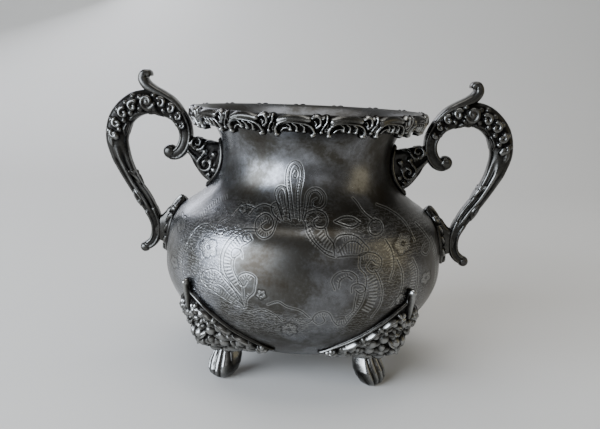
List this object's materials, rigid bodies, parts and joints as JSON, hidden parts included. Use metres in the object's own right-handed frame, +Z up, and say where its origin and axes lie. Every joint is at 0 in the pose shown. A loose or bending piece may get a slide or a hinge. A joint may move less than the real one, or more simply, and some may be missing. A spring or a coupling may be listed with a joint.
{
  "type": "sugar bowl",
  "caption": "Footed, two-handled sugar bowl of tarnished silver plate: bellied body, flared mouth with a cast floral border, scroll handles and leafy feet.",
  "frame": {"origin": "on the table, at the middle of the bowl's footprint", "axes": "+Z up; +X through the right-hand handle; -Y is the front, with the engraved shield"},
  "size_m": [0.186, 0.125, 0.1298],
  "materials": {
    "spun_body": "tarnished silver plate over spun Britannia metal, hand engraved, soft gloss",
    "cast_border": "cast and silver plated, dark tarnish in the hollows, rubbed high spots",
    "cast_handle": "cast and silver plated, nearly black tarnish, rubbed high spots",
    "cast_foot": "cast and silver plated, dark tarnish in the hollows, rubbed high spots"
  },
  "bodies": {
    "root": {"bowl_shell": "spun_body", "bottom_plate": "spun_body", "rim_border_front": "cast_border", "rim_border_right": "cast_border", "rim_border_back": "cast_border", "rim_border_left": "cast_border", "handle_right": "cast_handle", "handle_right_upper_bracket": "cast_handle", "handle_right_lower_mount": "cast_handle", "handle_left": "cast_handle", "handle_left_upper_bracket": "cast_handle", "handle_left_lower_mount": "cast_handle", "foot_front_right_leg": "cast_foot", "foot_front_right_apron": "cast_foot", "foot_front_left_leg": "cast_foot", "foot_front_left_apron": "cast_foot", "foot_back_right_leg": "cast_foot", "foot_back_right_apron": "cast_foot", "foot_back_left_leg": "cast_foot", "foot_back_left_apron": "cast_foot"}
  },
  "joints": []
}
